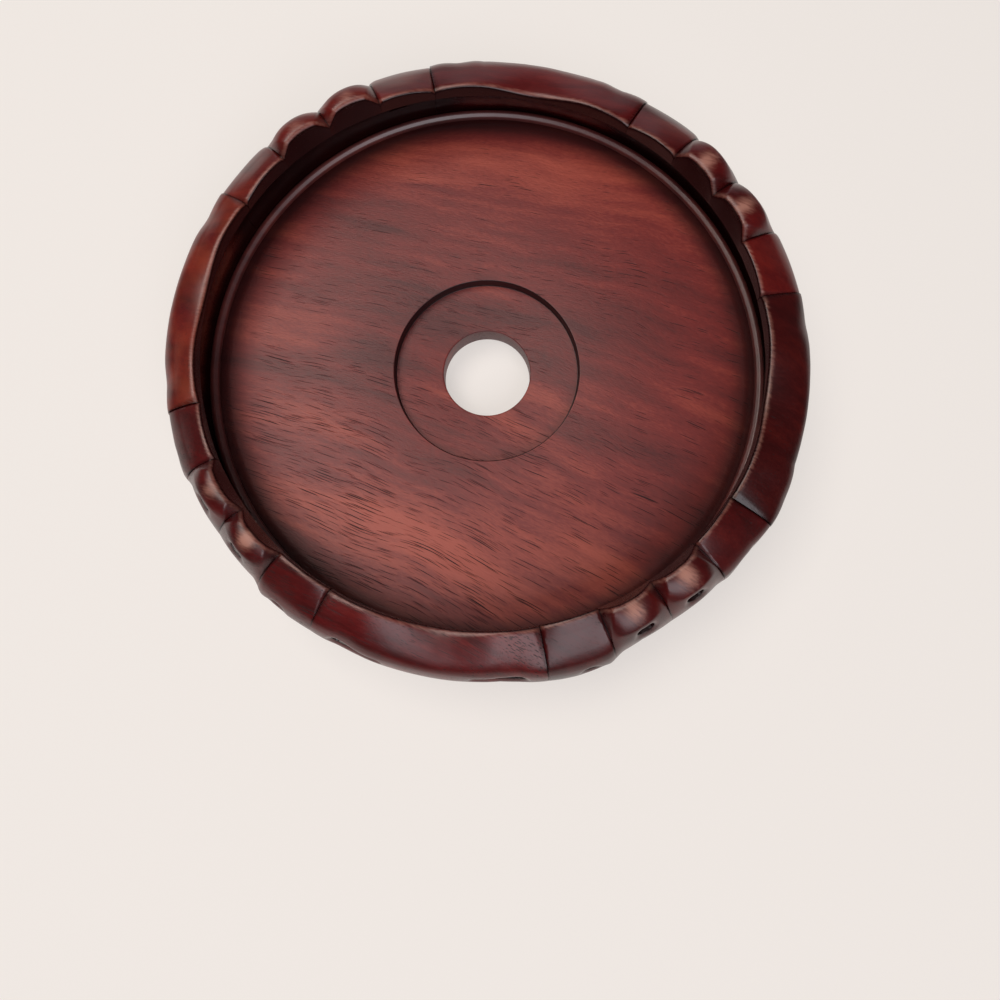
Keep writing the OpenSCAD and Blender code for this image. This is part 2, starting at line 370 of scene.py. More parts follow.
    def _wear(self, tree: Tree, flow: Flow, colour: Source, rough: Source) -> tuple[Socket, Socket, Socket]:
        """Rubs the stain off where the piece says it is worn, with a painted highlight on its edges and toe
        tips; paints the pieces on the lit side paler and those on the shaded side darker; and blackens the
        hollow inside with dark stain and painted shade.

        Args:
            tree: the material's tree.
            flow: the wood's own axes.
            colour: the stained wood's colour.
            rough: the stained wood's roughness.

        Returns:
            Colour, roughness and the weight of the wax coat.
        """
        # Worn places with painted highlights, the hollow's black of dark stain and painted shade, and each
        # piece's painted light and shade.
        names = ("wear", "hollow", "paler")
        read = [add(tree, "ShaderNodeAttribute", attribute_name=name).outputs["Fac"] for name in names]
        worn, hollow, paler = read
        # Painted shade: the pieces on the shaded side are darkened.
        darker = add(tree, "ShaderNodeMath:MINIMUM", {0: paler, 1: 0.0})
        kept = add(tree, SUM, {0: darker, 1: 1.0})
        toned = add(tree, V_SCALE, {0: colour, "Scale": kept})
        place = add(tree, PLACE).outputs["Object"]
        rubs = add(tree, NOISE, {"Vector": place, "Scale": 1 / (self.rub_mm * MM), "Detail": 3.0})
        patches = add(tree, RANGE, {"Value": rubs, "From Min": 0.3, "From Max": 0.7})
        # Painted light: the pieces on the lit side are mixed, in patches, towards a paler tone.
        fade = add(tree, TIMES, {0: paler, 1: patches}, use_clamp=True)
        grit = self._streak(tree, flow, long=3.2, wide=0.6, detail=3.0, seed=23.3)
        spread = add(tree, MADD, {0: grit, 1: 1.1, 2: -0.55})
        patch = add(tree, SUM, {0: worn, 1: spread})
        ragged = add(tree, RANGE, {"Value": patch, "From Min": 0.25, "From Max": 0.85})
        rub = add(tree, TIMES, {0: ragged, 1: worn}, use_clamp=True)
        # Mixes in turn the painted light of the lit side, the bare wood of the worn places with their
        # painted highlight, and the hollow's black of dark stain and painted shade.
        for share, tint in ((fade, self.lit_side_tone), (rub, self.bare), (hollow, self.stain_and_shade)):
            tinted = {"Factor": share, 6: toned, 7: linear(tint)}
            toned = add(tree, MIX, tinted, data_type="RGBA").outputs[2]
        dull = add(tree, MADD, {0: rub, 1: 0.25, 2: rough})
        sleek = add(tree, MADD, {0: hollow, 1: -0.08, 2: dull}, use_clamp=True)
        coat = add(tree, MADD, {0: hollow, 1: -self.wax, 2: self.wax}, use_clamp=True)
        return toned, sleek.outputs[0], coat.outputs[0]


@dataclass(frozen=True)
class HiddenWood:
    """Bare wood or bamboo of the tenons and pegs, split and shaved: straight fibres, no polish."""

    name: str
    dark: str
    light: str
    fibre_mm: tuple[float, float] = (12.0, 0.4)
    split_mm: float = 0.2

    def build(self) -> Material:
        """Builds the material.

        Returns:
            The finished material.
        """
        mat, tree = blank(self.name)
        long, wide = (1 / (mm * MM) for mm in self.fibre_mm)
        place = add(tree, PLACE).outputs["Object"]
        drawn = add(tree, "ShaderNodeMapping", {"Vector": place, "Scale": (wide, wide, long)})
        fibre = add(tree, NOISE, {"Vector": drawn, "Scale": 1.0, "Detail": 3.0})
        colour = add(tree, RAMP, {"Fac": fibre}, stops=((0.35, self.dark), (0.65, self.light)))
        bump = add(tree, BUMP, {"Height": fibre, "Strength": 0.3, "Distance": self.split_mm * MM})
        shader = add(tree, SURFACE, {"Base Color": colour, "Roughness": 0.7, "Normal": bump})
        add(tree, MATERIAL_OUT, {"Surface": shader})
        return mat


@dataclass(frozen=True)
class Paper:
    """Matt drawing paper under the stand: off-white, with a faint tooth and only a faint shadow."""

    name: str = "drawing_paper"
    colour: str = "#f0eae4"
    glow: str = "#fbf5f0"
    share: float = 0.58
    tooth_mm: float = 1.5
    tooth_deep_mm: float = 0.2

    def build(self) -> Material:
        """Builds the material.

        Returns:
            The finished material.
        """
        mat, tree = blank(self.name)
        place = add(tree, PLACE).outputs["Object"]
        tooth = add(tree, NOISE, {"Vector": place, "Scale": 1 / (self.tooth_mm * MM), "Detail": 2.0})
        bump = add(tree, BUMP, {"Height": tooth, "Strength": 0.05, "Distance": self.tooth_deep_mm * MM})
        matt = {"Base Color": linear(self.colour), "Roughness": 0.85, "Normal": bump}
        shader = add(tree, SURFACE, matt)
        lit = add(tree, "ShaderNodeEmission", {"Color": linear(self.glow)})
        path = add(tree, "ShaderNodeLightPath").outputs
        mirror = add(tree, LARGER, {0: path["Is Glossy Ray"], 1: path["Is Transmission Ray"]})
        seen = add(tree, LARGER, {0: path["Is Camera Ray"], 1: mirror})
        part = add(tree, TIMES, {0: seen, 1: self.share})
        both = add(tree, "ShaderNodeMixShader", {"Fac": part, 1: shader, 2: lit})
        add(tree, MATERIAL_OUT, {"Surface": both})
        return mat


def new_object(name: str, data: Any) -> bpy.types.Object:
    """Makes an object and links it to the scene."""
    made = bpy.data.objects.new(name, data)
    bpy.context.scene.collection.objects.link(made)
    return made


def put(name: str, mesh: Mesh, material: Material, nodes: Sequence[str]) -> None:
    """Puts a finished mesh on the stand in place of the nodes that it stands for.

    Args:
        name: the piece's name.
        mesh: the finished mesh, in metres.
        material: its finish.
        nodes: the nodes it replaces.
    """
    piece = new_object(name, mesh)
    mesh.materials.clear()
    mesh.materials.append(material)
    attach(piece, "root")
    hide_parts(*nodes)
    LOG.info("%s: %d faces", name, len(mesh.polygons))


def solid(name: str, verts: Sequence, faces: Sequence[Sequence[int]]) -> Mesh:
    """Makes a closed mesh with its faces turned outwards.

    Args:
        name: the mesh's name.
        verts: the corners, in metres.
        faces: the numbers of each face's corners.

    Returns:
        The mesh.
    """
    mesh = bpy.data.meshes.new(name)
    mesh.from_pydata(verts, [], faces)
    made = bmesh.new()
    made.from_mesh(mesh)
    bmesh.ops.triangulate(made, faces=[f for f in made.faces if len(f.verts) > 4])
    bmesh.ops.recalc_face_normals(made, faces=made.faces)
    made.to_mesh(mesh)
    made.free()
    return mesh


def shade(mesh: Mesh, angle: float) -> None:
    """Smooths a mesh but keeps edges sharper than the angle, in degrees."""
    mesh.shade_smooth()
    mesh.set_sharp_from_angle(angle=math.radians(angle))


@dataclass
class Turning:
    """A piece turned on the lathe: one closed outline swept round the axis."""

    outline: Outline
    steps: int = 288

    def mesh(self, name: str) -> Mesh:
        """Sweeps the outline.

        Args:
            name: the mesh's name.

        Returns:
            A closed mesh in metres.
        """
        rows = len(self.outline)
        verts: list[tuple[float, float, float]] = []
        faces: list[tuple[int, ...]] = []
        for i in range(self.steps):
            a = 2 * math.pi * i / self.steps
            verts += [(r * math.cos(a) * MM, r * math.sin(a) * MM, z * MM) for r, z in self.outline]
            j = (i + 1) % self.steps
            for k in range(rows):
                n = (k + 1) % rows
                faces.append((i * rows + k, j * rows + k, j * rows + n, i * rows + n))
        mesh = solid(name, verts, faces)
        shade(mesh, 32)
        return mesh


def eased(corners: Sequence[tuple[float, float, float]], steps: int = 4) -> Outline:
    """Rounds the corners of an outline.

    Args:
        corners: radius, height and corner rounding of each corner, in order.
        steps: points on each rounded corner.

    Returns:
        The outline's points.
    """
    out: Outline = []
    count = len(corners)
    for i, (r, z, ease) in enumerate(corners):
        if ease == 0:
            out.append((r, z))
            continue
        here = Vector((r, z))
        back = (Vector(corners[i - 1][:2]) - here).normalized() * ease
        on = (Vector(corners[(i + 1) % count][:2]) - here).normalized() * ease
        for k in range(steps + 1):
            t = k / steps
            point = (here + back) * (1 - t) ** 2 + here * 2 * t * (1 - t) + (here + on) * t * t
            out.append((point.x, point.y))
    return out


@dataclass
class SeatBoard:
    """The turned board, foot side up, with its hole and counterbore."""

    radius: float = 78.0
    seat: float = 3.6
    hole_r: float = 12.7
    bore_r: float = 26.7
    bore_depth: float = 3.7
    fall: float = 0.9
    fall_r: tuple[float, float, float] = (74.0, 75.7, 77.0)
    fall_start: float = 0.25

    def outline(self) -> Outline:
        """Gives the board's section, from the hole outwards over the foot side and back."""
        step = FLOOR - self.bore_depth
        edge = FLOOR - self.fall
        hole = [(self.hole_r, self.seat, 0.3), (self.hole_r, step, 0.45)]
        bore = [(self.bore_r, step, 0.25), (self.bore_r, FLOOR, 0.4)]
        run = zip(self.fall_r, (FLOOR, FLOOR - self.fall_start, edge))
        top = [(52.0, FLOOR, 0.0)] + [(r, z, 0.0) for r, z in run]
        side = [(self.radius, edge, 0.0), (self.radius, self.seat, 0.3), (45.0, self.seat, 0.0)]
        return eased(hole + bore + top + side)

    def build(self, finish: Material) -> None:
        """Turns the board and puts it on the stand."""
        mesh = Turning(self.outline()).mesh("turned_board")
        put("turned_board", mesh, finish, ["seat_board"])


@dataclass
class SeatRim:
    """The turned rim: lip, half-round moulding, hollow, flange, and the bead over the board."""

    inner: float = 78.1
    flange: float = 86.0
    nose: float = 83.0
    moulding: float = 4.4
    arris: float = 0.3
    lip_ease: float = 0.5
    hollow: float = 1.7
    bead_r: float = 78.41
    bead_w: float = 2.6
    bead_h: float = 1.7

    def outline(self) -> Outline:
        """Gives the rim's section, from the lip's inside corner round the outside to the bead."""
        points = [(self.inner + self.lip_ease, 0.0)]
        for k in range(16):
            a = math.radians(-90 + 10 * k)
            across, up = self.moulding * math.cos(a), self.moulding * math.sin(a)
            points.append((self.nose + across, self.moulding + up))
        middle = (self.flange + 0.4 * self.hollow, FLOOR - 2 - self.hollow)
        points.append((self.flange - self.arris, middle[1] - 1.62))
        for k in range(9):
            a = math.radians(255 - 16.5 * k)
            points.append((middle[0] + self.hollow * math.cos(a), middle[1] + self.hollow * math.sin(a)))
        points += [(self.flange, FLOOR - 1.6), (self.flange, FLOOR - self.arris)]
        points.append((self.flange - self.arris, FLOOR))
        half = self.bead_w / 2
        points += [(self.bead_r + half + 0.02, FLOOR), (self.bead_r + half, FLOOR + 0.2)]
        points += [(self.bead_r + half * x, FLOOR + self.bead_h - half + half * y) for x, y in self._bead()]
        points += [(self.bead_r - half, FLOOR), (self.inner, FLOOR), (self.inner, self.lip_ease)]
        return points

    def _bead(self) -> Outline:
        """Gives the bead's half-round of radius 1, with a narrow flat towards the board."""
        outer = [math.radians(a) for a in (0, 15, 30, 45, 60, 75, 90, 104)]
        inner = [math.radians(a) for a in (144, 156, 168, 180)]
        before, after = ([(math.cos(a), math.sin(a)) for a in part] for part in (outer, inner))
        (x, y), (u, v) = before[-1], after[0]
        return before + [(x + (u - x) * t, y + (v - y) * t) for t in (0.1, 0.5, 0.9)] + after

    def build(self, finish: Material) -> None:
        """Turns the rim and puts it on the stand."""
        mesh = Turning(self.outline(), 360).mesh("turned_rim")
        put("turned_rim", mesh, finish, ["seat_rim"])


@dataclass(frozen=True)
class Piercing:
    """A hole cut from the outside, through or in to a radius: a round head and a tail that may narrow."""

    angle: float
    up: float
    turn: float
    head_d: float
    tail_d: float
    reach: float
    in_to: float = 66.0

    def outline(self, steps: int = 14) -> Array:
        """Draws the hole's outline on the wall.

        Args:
            steps: points on each round end.

        Returns:
            Distances along the wall and up it, in order round the hole.
        """
        head = np.radians(np.linspace(90, 270, steps))
        tail = np.radians(np.linspace(-90, 90, steps))
        r0, r1 = self.head_d / 2, self.tail_d / 2
        points = np.vstack(
            [
                np.stack([r0 * np.cos(head), r0 * np.sin(head)], 1),
                np.stack([self.reach + r1 * np.cos(tail), r1 * np.sin(tail)], 1),
            ]
        )
        c, s = math.cos(math.radians(self.turn)), math.sin(math.radians(self.turn))
        return points @ np.array([[c, s], [-s, c]])

    def distance(self, along: Array, up: Array) -> Array:
        """Measures how far points on the wall lie outside the hole.

        Args:
            along: distance along the wall from the head.
            up: height above the head.

        Returns:
            The distance, negative inside the hole.
        """
        c, s = math.cos(math.radians(self.turn)), math.sin(math.radians(self.turn))
        x, y = along * c + up * s, -along * s + up * c
        h = np.clip(x / max(self.reach, 1e-6), 0, 1)
        return np.hypot(x - h * self.reach, y) - (self.head_d + (self.tail_d - self.head_d) * h) / 2


@dataclass
class CarvedPiece:
    """A carved length of the apron wall, built about the +X axis and then turned to its place."""

    half: float
    foot_in: float = 80.02
    foot_out: float = 85.8
    lip_r: float = 74.6
    lip_up: float = 16.0
    bulge_up: float = 7.0
    step: float = 0.25
    glue: float = 0.06
    roll: float = 0.2
    roll_down: float = 1.1
    dish: float = 0.8
    dish_wide: float = 1.9
    dish_past: float = 0.8
    # Painted shade down the sides of the notches.
    flank_shade: float = 0.65
    # Strength of the rubbed outer crease, with its painted highlight.
    crease: float = 0.35
    # Dark joint lines, painted shade along the notches and inside the piercings, and the hollow's black,
    # which is dark stain with painted shade.
    stain_and_shade: float = 0.9
    black: float = 0.94
    spared: float = 0.69
    line_wide: float = 0.3
    # Place and width of the rubbed inner edge with its painted highlight, and width of the one on the
    # crease.
    edge_at: float = 0.7
    edge_wide: float = 0.95
    crease_wide: float = 0.45
    piercings: list[Piercing] = field(default_factory=list)

    def inner_edge(self, a: Array) -> Edge:
        """Gives the radius and height of the rim's inner edge, before the notches are cut."""
        raise NotImplementedError

    def outer_edge(self, a: Array) -> Edge:
        """Gives the radius and height of the crease outside the rim, before the notches are cut."""
        raise NotImplementedError

    def bulge(self, a: Array) -> Array:
        """Gives the wall's fullest radius."""
        raise NotImplementedError

    def flank(self, a: Array, t: Array) -> Array:
        """Gives how far down a notch's side a point is, with t as in relief."""
        raise NotImplementedError

    def relief(self, a: Array, t: Array) -> Array:
        """Gives the rise or cut of the rim's top, with t from 0 at the inner edge to 1 at the crease."""
        raise NotImplementedError

    def ease(self, a: Array) -> Edge:
        """Gives the shares of the rim's top and of the upper wall that the rounded crease takes."""
        return np.full_like(a, 0.24), np.full_like(a, 0.18)

    def lines(self) -> list[float]:
        """Lists the angles of the notches inside the piece."""
        return []

    def pale_band_mask(self, phi: Array, up: Array) -> Array:
        """Gives a pale band in the hollow, which only a rail has."""
        return np.zeros_like(phi)

    def tips(self, r: Array, phi: Array, up: Array) -> Edge:
        """Gives the worn place on each toe tip, with its painted highlight, which only a foot has."""
        return np.zeros_like(r), np.zeros_like(r)

    def angles(self) -> Array:
        """Gives the angles of the columns, closer together at the notches and the ends."""
        end = self.half - math.degrees(self.glue / self.foot_in)
        grid = np.linspace(-end, end, int(2 * end / self.step) + 1)
        near = np.array([-0.5, -0.28, -0.12, -0.03, 0.03, 0.12, 0.28, 0.5])
        close = np.concatenate([at + near for at in self.lines() + [-end, end]])
        every = np.unique(np.round(np.concatenate([grid, close[np.abs(close) < end - 0.01]]), 3))
        return every[np.concatenate([[True], np.diff(every) > 0.02])]

    def section(self, phi: Array) -> Array:
        """Gives the closed section at each angle.

        Args:
            phi: angles from the piece's middle.

        Returns:
            An array of columns, points and radius-height pairs.
        """
        a = np.abs(phi)
        r_i, z_i = self.inner_edge(a)
        r_o, z_o = self.outer_edge(a)
        top_ease, wall_ease = self.ease(a)
        t = np.concatenate([[0.0], np.linspace(self.roll, 1.0, 19)])[None] * (1 - top_ease)[:, None]
        t = np.concatenate([t, np.ones_like(t[:, :1])], 1)
        r = r_i[:, None] + (r_o - r_i)[:, None] * t
        z = FLOOR + z_i[:, None] + (z_o - z_i)[:, None] * t + self.relief(a[:, None], t)
        top = np.stack([r, z], 2)
        lip = np.stack([np.full_like(phi, self.lip_r), np.full_like(phi, FLOOR + self.lip_up)], 1)
        rise = (top[:, 0] - lip) / np.linalg.norm(top[:, 0] - lip, axis=1)[:, None]
        below = top[:, 0] - self.roll_down * rise
        wall = self._wall(phi, top[:, -1], self.bulge(a), wall_ease)
        up = np.linspace(0, 1, 6)[None, :, None]
        parts = [self._hollow(len(phi)), lip[:, None] * (1 - up) + below[:, None] * up]
        parts += [self._rounded(below, top[:, 0], top[:, 1], 10), top[:, 2:-1]]
        parts += [self._rounded(top[:, -2], top[:, -1], wall[:, 0], 9), wall[:, 1:]]
        return np.concatenate(parts, 1)

    def _hollow(self, count: int) -> Array:
        """Gives the hollow inside, an arc from the wall's foot to its upright edge."""
        low, high = 0.5 * self.bulge_up, self.lip_up - 0.5 * self.bulge_up
        lean = self.foot_in - self.lip_r
        middle = 0.5 * (self.foot_in + self.lip_r - (high * high - low * low) / lean)
        round_r = math.hypot(self.foot_in - middle, low)
        start, stop = math.atan2(-low, self.foot_in - middle), math.atan2(high, self.lip_r - middle)
        turn = np.linspace(start, stop, 15)[:-1]
        arc = np.stack([middle + round_r * np.cos(turn), FLOOR + low + round_r * np.sin(turn)], 1)
        return np.repeat(arc[None], count, 0)

    def _rounded(self, start: Array, corner: Array, stop: Array, steps: int) -> Array:
        """Rounds a corner, without its first point."""
        t = np.linspace(0, 1, steps)[None, 1:, None]
        return start[:, None] * (1 - t) ** 2 + corner[:, None] * 2 * t * (1 - t) + stop[:, None] * t * t

    def _wall(self, phi: Array, crease: Array, full: Array, ease: Array) -> Array:
        """Gives the bulging wall below the crease, dished round each piercing.

        Args:
            phi: angles from the piece's middle.
            crease: the crease's points.
            full: the wall's fullest radius at each angle.
            ease: the share of the upper wall that the rounded crease takes.

        Returns:
            The run of points, down to the wall's foot.
        """
        waist = FLOOR + self.bulge_up
        fall, rise = full - crease[:, 0], crease[:, 1] - waist
        round_r = ((fall**2 + rise**2) / (2 * fall))[:, None]
        full = full[:, None]
        upper = ease[:, None] + (1 - ease)[:, None] * np.linspace(0, 1, 20)[None]
        lower = np.repeat(np.linspace(1, 2, 11)[None, 1:], len(phi), 0)
        drop = np.concatenate([upper, lower], 1)
        high = crease[:, 1:] - rise[:, None] * np.minimum(drop, 1)
        z = np.where(drop <= 1, high, waist - self.bulge_up * (drop - 1))
        upper = full - round_r + np.sqrt(np.maximum(round_r**2 - (z - waist) ** 2, 0))
        lower = full - (full - self.foot_out) * np.clip((waist - z) / self.bulge_up, 0, 1) ** 2
        r = np.where(drop <= 1, upper, lower)
        for hole in self.piercings:
            off = np.radians(phi - hole.angle)[:, None] * WALL_R
            gap = np.maximum(hole.distance(off, z - FLOOR - hole.up), -self.dish_past)
            r = r - self.dish * np.clip(1 - gap / self.dish_wide, 0, 2) ** 2
        return np.stack([r, z], 2)

    def master(self, name: str) -> Mesh:
        """Builds the piece about +X, with its piercings sawn out.

        Args:
            name: the mesh's name.

        Returns:
            A closed mesh in metres.
        """
        phi = self.angles()
        loops = self.section(phi)
        cols, rows = loops.shape[:2]
        turn = np.radians(phi)[:, None]
        r, z = loops[..., 0], loops[..., 1]
        verts = np.stack([r * np.cos(turn), r * np.sin(turn), z], 2) * MM
        faces = [
            (i * rows + k, (i + 1) * rows + k, (i + 1) * rows + (k + 1) % rows, i * rows + (k + 1) % rows)
            for i in range(cols - 1)
            for k in range(rows)
        ]
        faces += [tuple(range(rows)), tuple((cols - 1) * rows + k for k in reversed(range(rows)))]
        return self._sawn(solid(name, verts.reshape(-1, 3).tolist(), faces))

    def _saw(self) -> Mesh:
        """Builds the cutters of all the piercings as one mesh."""
        saw = bmesh.new()
        for hole in self.piercings:
            a = math.radians(hole.angle)
            out, side = Vector((math.cos(a), math.sin(a), 0)), Vector((-math.sin(a), math.cos(a), 0))
            rings = []
            for r in (hole.in_to, SAW_R):
                ring = []
                for t, u in hole.outline().tolist():
                    up = Vector((0, 0, FLOOR + hole.up + u))
                    ring.append(saw.verts.new((out * r + side * t + up) * MM))
                rings.append(ring)
                saw.faces.new(ring)
            for k in range(len(rings[0])):
                n = (k + 1) % len(rings[0])
                saw.faces.new((rings[0][k], rings[0][n], rings[1][n], rings[1][k]))
        bmesh.ops.recalc_face_normals(saw, faces=saw.faces)
        blade = bpy.data.meshes.new("saw")
        saw.to_mesh(blade)
        saw.free()
        return blade

    def _sawn(self, mesh: Mesh) -> Mesh:
        """Saws the piercings out of a mesh.

        Args:
            mesh: the carved wall.

        Returns:
            The pierced mesh.
        """
        cutter, work = new_object("saw", self._saw()), new_object("work", mesh)
        cut = work.modifiers.new("piercings", "BOOLEAN")
        cut.operation = "DIFFERENCE"
        cut.solver = "EXACT"
        cut.object = cutter
        sawn = bpy.data.meshes.new_from_object(work.evaluated_get(bpy.context.evaluated_depsgraph_get()))
        for each in (cutter, work):
            bpy.data.objects.remove(each)
        return sawn

    def tone(self, mesh: Mesh) -> None:
        """Writes where the piece's hollow is black with dark stain and painted shade, where painted shade
        falls in its notches and piercings, where its edges are rubbed and carry a painted highlight, and
        where its toe tips are.

        Args:
            mesh: the piece's mesh about +X.
        """
        at = np.empty(len(mesh.vertices) * 3, np.float32)
        mesh.vertices.foreach_get("co", at)
        x, y, z = (at.reshape(-1, 3) / MM).T.astype(float)
        r, phi, up = np.hypot(x, y), np.degrees(np.arctan2(y, x)), z - FLOOR
        a = np.abs(phi)
        r_i, z_i = self.inner_edge(a)
        z_i = z_i + self.relief(a, np.zeros_like(a))
        r_o, z_o = self.outer_edge(a)
        t = np.clip((r - r_i) / (r_o - r_i), 0, 1)
        slope = self.lip_r + (r_i - self.lip_r) * np.clip((up - self.lip_up) / (z_i - self.lip_up), 0, 1)
        arc = self._hollow(1)[0]
        inside = np.where(up < self.lip_up, np.interp(up, arc[:, 1] - FLOOR, arc[:, 0]), slope)
        # The hollow inside; its black is dark stain with painted shade.
        hollow = smooth(0.7, 0.15, r - inside) * smooth(0.1, 0.45, z_i - up)
        # A pale band low in a rail's hollow, kept lighter and mixed towards bare wood.
        raw = self.pale_band_mask(phi, up) * hollow
        black = [hollow * (self.black - self.spared * raw)]
        # A dark line at each joint, and painted shade along each notch.
        for line in self.lines() + [-self.half, self.half]:
            off = np.radians(np.abs(phi - line)) * r
            black.append(self.stain_and_shade * bell(off, self.line_wide) * smooth(14.0, 16.0, up))
        # Painted shade inside each piercing.
        for hole in self.piercings:
            off = np.radians(phi - hole.angle) * r
            cut = smooth(0.3, 0.0, hole.distance(off, up - hole.up))
            black.append(self.stain_and_shade * cut * smooth(88.2, 86.6, r))
        # Painted shade down the sides of the notches.
        z_top = z_i * (1 - t) + z_o * t
        black.append(self.flank_shade * self.flank(a, t) * smooth(2.5, 1.2, z_top - up))
        # Rubbed inner edge, with a painted highlight along it.
        inner = bell(r - r_i - self.edge_at, self.edge_wide) * smooth(1.2, 0.4, z_i - up)
        # Rubbed outer crease, with a painted highlight along it.
        crisp = self.crease * smooth(0.2, 0.1, self.ease(a)[0])
        outer = crisp * bell(r - r_o, self.crease_wide) * smooth(1.2, 0.5, np.abs(up - z_o))
        first, second = self.tips(r, phi, up)
        written = {
            "hollow": np.maximum.reduce(black),
            "wear": np.maximum.reduce([inner, outer, 0.8 * raw]),
            "first_toe": first,
            "second_toe": second,
        }
        for name, values in written.items():
            mesh.attributes.new(name, "FLOAT", "POINT").data.foreach_set("value", values.astype(np.float32))


@dataclass
class Foot(CarvedPiece):
    """Two pillowed toes, cut to V notches on the inside, between two shoulders that slope outwards."""

    toe: float = 11.6
    toe_in: float = 74.6
    toe_out: float = 82.3
    toe_up: float = 23.2
    toe_crease: float = 21.7
    shoulder_in: float = 74.25
    shoulder_out: float = 84.9
    shoulder_up: float = 21.5
    shoulder_crease: float = 16.4
    full: float = 86.6
    # The worn place on each toe tip, which also carries a painted highlight.
    tip_r: float = 78.0
    tip_wide: float = 3.1
    tip_long: float = 1.25

    def __post_init__(self) -> None:
        """Sets the slot in the outside of each toe and the comma on each shoulder."""
        for s in (-1, 1):
            along, turn = s * 5.22 - math.degrees(1.0 / 86), 205 if s > 0 else -25
            self.piercings.append(Piercing(along, 18.2, 0, head_d=3.0, tail_d=3.0, reach=2.0, in_to=79.9))
            self.piercings.append(Piercing(s * 16.16, 10.6, turn, head_d=4.2, tail_d=1.4, reach=3.2))

    def _across(self, a: Array) -> Array:
        """Gives the place across a toe, from -1 at the middle notch to 1 at the shoulder."""
        return np.clip((a - self.toe / 2) / (self.toe / 2), -1, 1)

    def _beside(self, a: Array) -> Array:
        """Gives the place across a shoulder, from 0 at the toe to 1 at the joint."""
        return np.clip((a - self.toe) / (self.half - self.toe), 0, 1)

    def inner_edge(self, a: Array) -> Edge:
        """Raises the toes over the shoulders, which fall to the joint."""
        s, u, on = self._across(a), self._beside(a), a < self.toe
        fall = np.where(u < 0.33, 0.6 * ((u - 0.33) / 0.33) ** 2, 1.9 * ((u - 0.33) / 0.67) ** 2)
        r = np.where(on, self.toe_in + 1.1 * (1 - s * s), self.shoulder_in)
        return r, np.where(on, self.toe_up - 0.8 * s * s, self.shoulder_up - fall)

    def outer_edge(self, a: Array) -> Edge:
        """Draws the crease in over the toes and lowers it along the shoulders."""
        s, u, on = self._across(a), self._beside(a), a < self.toe
        toe_z = self.toe_crease - 2.2 * np.abs(s) ** 2.5 - 0.9 * np.maximum(s, 0) ** 4
        toe_r = self.toe_out - 1.1 * s * s + 0.3 * s
        shoulder_z = self.shoulder_crease + 1.2 * np.exp(-u / 0.14) - 0.2 * u
        shoulder_r = self.shoulder_out - 1.3 * np.exp(-u / 0.1)
        return np.where(on, toe_r, shoulder_r), np.where(on, toe_z, shoulder_z)

    def bulge(self, a: Array) -> Array:
        """Swells the wall from the toes to the shoulders."""
        return self.full + 1.5 * smooth(9.4, 13.0, a) - 0.4 * self._beside(a) ** 2

    def flank(self, a: Array, t: Array) -> Array:
        """Cuts V notches between and beside the toes, and a small one at each joint."""
        s, start = self._across(a), 0.56 + 0.4 * t
        toe = np.clip((np.abs(s) - start) / (1 - start), 0, 1)
        end = np.radians(np.minimum(np.abs(a - self.toe), np.abs(a - self.half))) * EDGE_R
        return np.where(a < self.toe, toe, np.clip(1 - end / (1.0 - 0.7 * t), 0, 1))

    def relief(self, a: Array, t: Array) -> Array:
        """Pillows the top and sinks it into the notches."""
        on = a < self.toe
        depth = np.where(on, 2.5 - 2.2 * t, 0.7 - 0.6 * t)
        return np.where(on, 0.75, 0.45) * 4 * t * (1 - t) - depth * self.flank(a, t)

    def ease(self, a: Array) -> Edge:
        """Keeps the crease crisp on the toes and round on the shoulders."""
        on = a < self.toe
        return np.where(on, 0.045, 0.24), np.where(on, 0.035, 0.18)

    def lines(self) -> list[float]:
        """Lists the notch between the toes and the one beside each."""
        return [-self.toe, 0.0, self.toe]

    def tips(self, r: Array, phi: Array, up: Array) -> Edge:
        """Gives the worn place on the tip of each toe, with its painted highlight."""
        rub = []
        for s in (-1, 1):
            off = np.hypot((r - self.tip_r) / self.tip_long, np.radians(phi - s * self.toe / 2) * r)
            rub.append(bell(off, self.tip_wide) * smooth(20.2, 22.0, up))
        return rub[0], rub[1]


